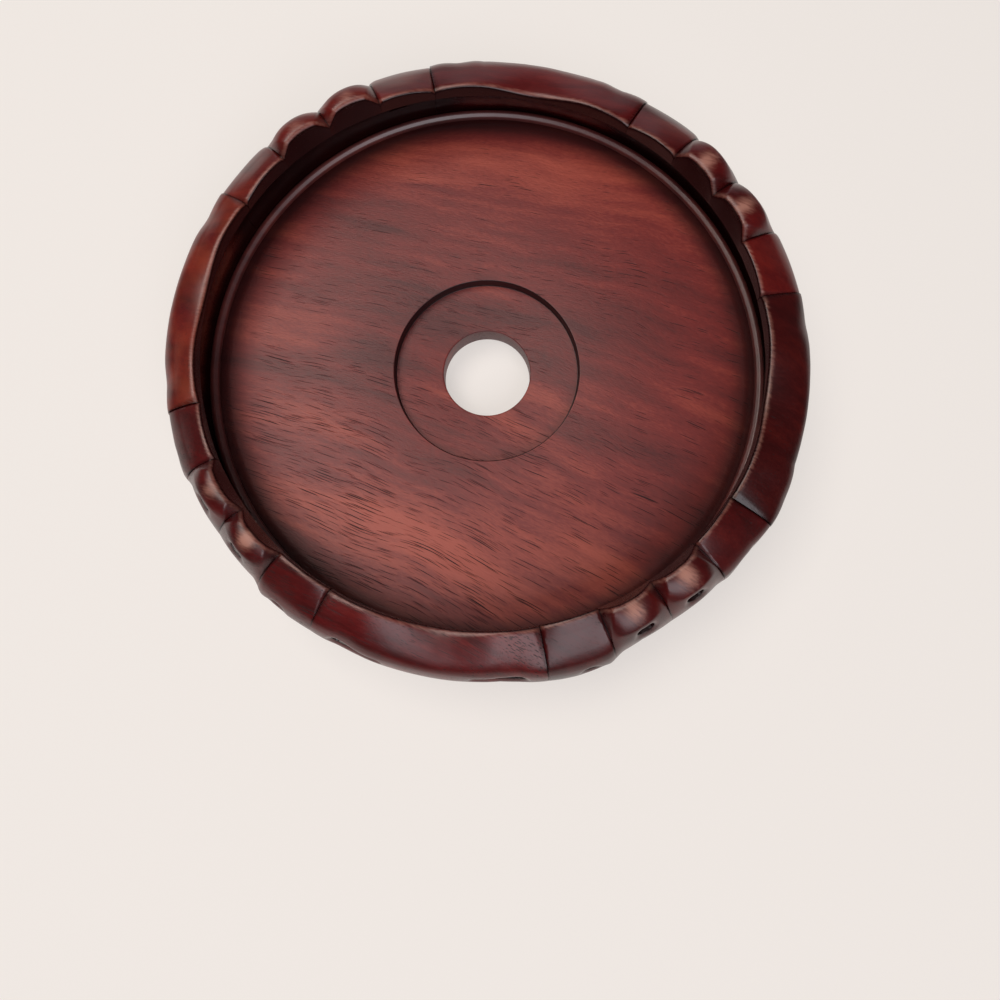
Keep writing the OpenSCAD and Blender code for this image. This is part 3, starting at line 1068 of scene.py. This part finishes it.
@dataclass
class Rail(CarvedPiece):
    """A long low edge with two crests, a dip between them and a comma slot near each end."""

    # Painted shade down the sides of the half notch at each joint.
    flank_shade: float = 0.75
    crest: float = 14.2
    crest_up: float = 20.4
    dip: float = 1.3
    edge_in: float = 74.6
    edge_out: float = 85.3
    edge_crease: float = 16.0
    full: float = 87.7

    def __post_init__(self) -> None:
        """Sets the comma slot near each end."""
        for s in (-1, 1):
            turn = 180 if s > 0 else 0
            self.piercings.append(Piercing(s * 16.26, 11.0, turn, head_d=4.2, tail_d=1.4, reach=11.2))

    def _flute(self, a: Array) -> Array:
        """Gives the shallow flute above the head of each slot."""
        return bell(a - 15.8, 3.0)

    def inner_edge(self, a: Array) -> Edge:
        """Runs the edge over two crests, with a dip between them."""
        inner = self.crest_up - self.dip - self.dip * np.cos(np.pi * a / self.crest)
        outer = self.crest_up - 0.9 * ((a - self.crest) / (self.half - self.crest)) ** 2
        return np.full_like(a, self.edge_in), np.where(a < self.crest, inner, outer)

    def outer_edge(self, a: Array) -> Edge:
        """Draws the crease in above each slot and raises it towards the joints."""
        flute = self._flute(a)
        return self.edge_out - 0.7 * flute, self.edge_crease - 0.3 * flute + 0.5 * smooth(5, 14, a)

    def bulge(self, a: Array) -> Array:
        """Flattens the wall a little above each slot."""
        return self.full - 0.15 * self._flute(a)

    def flank(self, a: Array, t: Array) -> Array:
        """Cuts half a notch at each joint."""
        return np.clip(1 - np.radians(self.half - a) * EDGE_R / (2.0 - 1.5 * t), 0, 1)

    def relief(self, a: Array, t: Array) -> Array:
        """Pillows the top and sinks it into the notches."""
        return 0.45 * 4 * t * (1 - t) - (0.3 - 0.2 * t) * self.flank(a, t)

    def pale_band_mask(self, phi: Array, up: Array) -> Array:
        """Gives the pale band low in the middle of the hollow."""
        return smooth(20.0, 12.5, np.abs(phi)) * smooth(1.5, 4.5, up) * smooth(11.0, 7.0, up)


@dataclass
class Apron:
    """The ring of four feet and four rails, repeated by quarter turns."""

    joint: float = 23.6
    # How bare each foot's two toe tips are, with their painted highlight.
    worn: tuple[tuple[float, float], ...] = ((0.85, 0.85), (0.6, 0.6), (0.7, 1.0), (0.9, 0.95))
    # How much paler each foot and rail is painted on the lit side, above 0, and darker on the shaded side,
    # below 0: painted light and shade.
    feet_light_and_shade: tuple[float, ...] = (-0.1, 0.2, -0.2, -0.35)
    rails_light_and_shade: tuple[float, ...] = (0.0, 0.6, 0.0, -0.58)
    oval: float = 1.1
    inner_shift: tuple[float, float] = (-0.9, -0.15)
    inner_mm: tuple[float, float] = (82.0, 76.0)
    outer_shift: tuple[float, float] = (0.5, -0.3)
    outer_mm: tuple[float, float] = (78.0, 84.0)
    hold_mm: tuple[float, float] = (85.5, 88.2)
    free_mm: tuple[float, float] = (15.2, 20.0)
    fuller: tuple[tuple[float, float, float], ...] = (
        (296.0, 13.0, 1.3),
        (342.0, 8.0, 1.2),
        (106.0, 5.0, 0.8),
        (74.0, 5.0, 0.5),
    )
    hand: float = 0.28
    gouge_mm: float = 11.0
    cut_in: float = 0.62
    # How much of the rubbed edge with its painted highlight shows.
    edge_wear: float = 0.55

    def turner(self, finish: Material) -> tuple[Tree, str]:
        """Builds the tree that turns one carved piece to its place on the ring.

        The ring has come out a little oval, longest along X, and wider on one side than on the
        other. Its surface has the shallow hollows of the gouge.

        Args:
            finish: the material that the piece gets.

        Returns:
            The tree and the identifier of its angle input.
        """
        tree = bpy.data.node_groups.new("turn_to_place", "GeometryNodeTree")
        tree.interface.new_socket("Geometry", in_out="INPUT", socket_type="NodeSocketGeometry")
        angle = tree.interface.new_socket("Turn", in_out="INPUT", socket_type="NodeSocketFloat")
        tree.interface.new_socket("Geometry", in_out="OUTPUT", socket_type="NodeSocketGeometry")
        given = add(tree, "NodeGroupInput").outputs
        about = add(tree, "ShaderNodeCombineXYZ", {"Z": given["Turn"]})
        spun = add(tree, "FunctionNodeEulerToRotation", {0: about})
        moved = add(tree, "GeometryNodeTransform", {"Geometry": given["Geometry"], "Rotation": spun})
        shaped = add(tree, "GeometryNodeSetPosition", {"Geometry": moved, "Offset": self._by_hand(tree)})
        real = add(tree, "GeometryNodeRealizeInstances", {"Geometry": shaped})
        dressed = add(tree, "GeometryNodeSetMaterial", {"Geometry": real, "Material": finish})
        add(tree, "NodeGroupOutput", {"Geometry": dressed})
        return tree, angle.identifier

    def _by_hand(self, tree: Tree) -> Source:
        """Shapes the ring: its oval, its uneven width and the gouge's hollows, fading at the wall's foot.

        Args:
            tree: the tree that turns a piece to its place.

        Returns:
            The offset of each point.
        """
        place = add(tree, "GeometryNodeInputPosition")
        flat = add(tree, V_TIMES, {0: place, 1: (1.0, 1.0, 0.0)})
        out = add(tree, "ShaderNodeVectorMath:NORMALIZE", {0: flat})
        far = add(tree, V_LENGTH, {0: flat}).outputs["Value"]
        mirrored = add(tree, V_TIMES, {0: out, 1: (1.0, -1.0, 0.0)})
        twice = add(tree, V_DOT, {0: out, 1: mirrored}).outputs["Value"]
        pull = add(tree, TIMES, {0: twice, 1: self.oval})
        for shift, ends in ((self.inner_shift, self.inner_mm), (self.outer_shift, self.outer_mm)):
            side = add(tree, V_DOT, {0: out, 1: (*shift, 0.0)}).outputs["Value"]
            part = add(tree, RANGE, {"Value": far, "From Min": ends[0] * MM, "From Max": ends[1] * MM})
            pull = add(tree, MADD, {0: side, 1: part, 2: pull})
        start, stop = (mm * MM for mm in self.hold_mm)
        limits = {"From Min": start, "From Max": stop, "To Min": MM, "To Max": 0.0}
        hold = add(tree, RANGE, {"Value": far, **limits})
        kept = add(tree, TIMES, {0: pull, 1: hold})
        for angle, half, reach in self.fuller:
            turn = math.radians(angle)
            toward = (math.cos(turn), math.sin(turn), 0.0)
            near = add(tree, V_DOT, {0: out, 1: toward}).outputs["Value"]
            limits = {"From Min": math.cos(math.radians(half)), "From Max": 1.0, "To Max": reach * MM}
            swell = add(tree, RANGE, {"Value": near, **limits})
            kept = add(tree, MADD, {0: swell, 1: part, 2: kept})
        pulled = add(tree, V_SCALE, {0: out, "Scale": kept})
        noise = add(tree, NOISE, {"Vector": place, "Scale": 1 / (self.gouge_mm * MM), "Detail": 1.0})
        middle = (0.5, 0.5, self.cut_in)
        centred = add(tree, "ShaderNodeVectorMath:SUBTRACT", {0: noise.outputs["Color"], 1: middle})
        gouge = add(tree, V_SCALE, {0: centred, "Scale": self.hand * MM})
        both = add(tree, "ShaderNodeVectorMath:ADD", {0: pulled, 1: gouge})
        high = add(tree, SEPARATE, {"Vector": place}).outputs["Z"]
        low, full = self.free_mm
        fade = add(tree, RANGE, {"Value": high, "From Min": low * MM, "From Max": full * MM})
        return add(tree, V_SCALE, {0: both, "Scale": fade})

    def placed(self, master: Mesh, tree: Tree, key: str, angle: float, name: str) -> Mesh:
        """Turns a copy of a carved piece to its place.

        Args:
            master: the piece about +X.
            tree: the tree that turns it.
            key: the identifier of the tree's angle input.
            angle: where the piece's middle goes.
            name: the mesh's name.

        Returns:
            A plain mesh in place.
        """
        work = new_object(name, master)
        turn = work.modifiers.new("turn", "NODES")
        turn.node_group = tree
        turn[key] = math.radians(angle)
        mesh = bpy.data.meshes.new_from_object(work.evaluated_get(bpy.context.evaluated_depsgraph_get()))
        bpy.data.objects.remove(work)
        mesh.name = name
        return mesh

    def rub(self, mesh: Mesh, worn: tuple[float, float], paler: float) -> None:
        """Adds the worn toe tips to the rubbed edge, both with a painted highlight, and the piece's painted
        light and shade: paler on the lit side, darker on the shaded side.

        Args:
            mesh: the piece's mesh, in place.
            worn: how bare the first and second toe tips are, with their painted highlight.
            paler: how much paler the piece is painted on the lit side, above 0, and how much darker on the
                shaded side, below 0.
        """
        count = len(mesh.vertices)
        read = {}
        for name in ("wear", "first_toe", "second_toe"):
            read[name] = np.empty(count, np.float32)
            mesh.attributes[name].data.foreach_get("value", read[name])
        # Worn toe tips and edges, each with a painted highlight.
        tips = np.maximum(read["first_toe"] * worn[0], read["second_toe"] * worn[1])
        mesh.attributes["wear"].data.foreach_set("value", np.maximum(self.edge_wear * read["wear"], tips))
        # The piece's painted light and shade.
        own = mesh.attributes.new("paler", "FLOAT", "POINT")
        own.data.foreach_set("value", np.full(count, paler, np.float32))
        for name in ("first_toe", "second_toe"):
            mesh.attributes.remove(mesh.attributes[name])

    def build(self, finish: Material) -> None:
        """Carves a foot and a rail, and puts four of each on the stand."""
        tree, key = self.turner(finish)
        foot, rail = Foot(half=self.joint), Rail(half=45 - self.joint)
        kinds = ((foot, "foot", 45, self.feet_light_and_shade), (rail, "apron_rail", 90, self.rails_light_and_shade))
        for piece, stem, first, paler in kinds:
            master = piece.master(stem)
            piece.tone(master)
            for i in range(4):
                mesh = self.placed(master, tree, key, first + 90 * i, f"carved_{stem}_{i + 1}")
                self.rub(mesh, self.worn[i], paler[i])
                shade(mesh, 24)
                put(mesh.name, mesh, finish, [f"{stem}_{i + 1}"])


@dataclass
class Joinery:
    """The tenons and pegs, hidden in the joints."""

    count: int = 8

    def dress(self, tenon: Material, peg: Material) -> None:
        """Gives the hidden pieces their bare wood."""
        for stem, finish in (("tenon", tenon), ("peg", peg)):
            for i in range(self.count):
                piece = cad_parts[f"{stem}_{i + 1}"]
                piece.data.materials.clear()
                piece.data.materials.append(finish)
        LOG.info("joinery: %d pieces", 2 * self.count)


@dataclass
class Studio:
    """The paper that the stand lies on, soft daylight from above and from the near side, and the camera."""

    eye: tuple[float, float, float] = (4.993, -62.478, 225.82)
    tilt: float = 6.62
    pan: float = -0.31
    lens: float = 27.0
    paper_half: float = 3.0

    def paper(self) -> None:
        """Lays the paper."""
        mesh, s = bpy.data.meshes.new("paper"), self.paper_half
        mesh.from_pydata([(-s, -s, 0), (s, -s, 0), (s, s, 0), (-s, s, 0)], [], [(0, 1, 2, 3)])
        mesh.materials.append(Paper().build())
        floor = new_object("paper", mesh)

    def camera(self) -> None:
        """Sets the camera where the photograph was taken from."""
        tilt, pan = math.radians(self.tilt), math.radians(self.pan)
        level, down = Vector((1, 0, 0)), Vector((0, math.sin(tilt), -math.cos(tilt)))
        up = Vector((0, math.cos(tilt), math.sin(tilt)))
        right = level * math.cos(pan) - down * math.sin(pan)
        ahead = level * math.sin(pan) + down * math.cos(pan)
        data = bpy.data.cameras.new("camera")
        data.sensor_width, data.lens, data.clip_start = 36.0, self.lens, 0.005
        eye = new_object("camera", data)
        axes = Matrix([FROM_PHOTO @ right, FROM_PHOTO @ up, FROM_PHOTO @ -ahead]).transposed().to_4x4()
        eye.matrix_world = Matrix.Translation(FROM_PHOTO @ Vector(self.eye) * MM) @ axes
        bpy.context.scene.camera = eye

    def lamp(self, name: str, at: Sequence[float], size: Sequence[float], power: float, colour: str) -> None:
        """Hangs a soft lamp that faces the stand.

        Args:
            name: the lamp's name.
            at: its place in metres, in the photograph's own left, far and up.
            size: its width and height in metres.
            power: its power in watts.
            colour: its colour.
        """
        data = bpy.data.lights.new(name, "AREA")
        data.shape = "RECTANGLE"
        data.size, data.size_y = size
        data.energy, data.color = power, linear(colour)[:3]
        hung = new_object(name, data)
        hung.location = FROM_PHOTO @ Vector(at)
        hung.rotation_euler = (FROM_PHOTO @ -Vector(at)).to_track_quat("-Z", "Y").to_euler()

    def world(self, colour: str, strength: float) -> None:
        """Sets the soft light from all round."""
        sky = bpy.data.worlds.new("room")
        sky.use_nodes = True
        back = sky.node_tree.nodes["Background"]
        back.inputs["Color"].default_value = linear(colour)
        back.inputs["Strength"].default_value = strength
        bpy.context.scene.world = sky

    def build(self) -> None:
        """Sets up the paper, the light and the camera."""
        self.paper()
        self.camera()
        self.world("#f4f1ee", 0.035)
        self.lamp("ceiling", (-0.36, 0.18, 1.02), (0.8, 0.6), 6.8, "#fff8f0")
        self.lamp("near_window", (0.26, -0.78, 1.08), (0.95, 0.9), 8.7, "#f9f6fc")
        self.lamp("far_wall", (-0.06, 1.15, 0.38), (1.2, 0.5), 0.9, "#f7f6ff")


BOARD_WOOD = Rosewood(
    name="oiled_rosewood",
    kind=Wood.OILED,
    dark="#551d1e", mid="#7a2926", light="#a64a3a", pore="#2a0d0e",
    gloss=0.46,
    streaks=(
        (-13.0, -54.0, 34.0, 10.0, 0.14),
        (-18.0, 13.0, 24.0, 9.0, -0.13),
        (-33.0, -1.0, 16.0, 8.0, -0.13),
        (25.0, 20.0, 30.0, 12.0, -0.07),
        (25.0, -35.0, 30.0, 10.0, 0.09),
        (-38.0, 41.0, 20.0, 12.0, -0.08),
        (58.0, -8.0, 14.0, 9.0, -0.06),
        (0.0, -17.0, 20.0, 6.0, -0.06),
    ),
)
RIM_WOOD = Rosewood(
    name="stained_rosewood_rim",
    kind=Wood.STAINED,
    dark="#421716", mid="#5c2422", light="#74322b", pore="#1c0808",
    gloss=0.45,
    pore_share=-0.26,
    pore_depth=0.12,
    mirror=1.0,
)
CARVED_WOOD = Rosewood(
    name="stained_rosewood_carved",
    kind=Wood.STAINED,
    dark="#3c0909", mid="#5a1011", light="#781f19", pore="#220607",
    gloss=0.32,
    band_mm=6.0,
    pore_share=-0.17,
    pore_depth=0.13,
    mirror=0.42,
)
TENON_WOOD = HiddenWood("split_tenon_wood", "#6d4227", "#99683f")
PEG_WOOD = HiddenWood("split_bamboo", "#96703f", "#c29a62")


def main() -> None:
    """Builds the dressed stand and its studio."""
    logging.basicConfig(level=logging.INFO, format="%(name)s: %(message)s")
    bpy.context.scene.view_settings.view_transform = "Standard"
    Studio().build()
    SeatBoard().build(BOARD_WOOD.build())
    SeatRim().build(RIM_WOOD.build())
    Apron().build(CARVED_WOOD.build())
    Joinery().dress(TENON_WOOD.build(), PEG_WOOD.build())


if __name__ == "__main__":
    main()
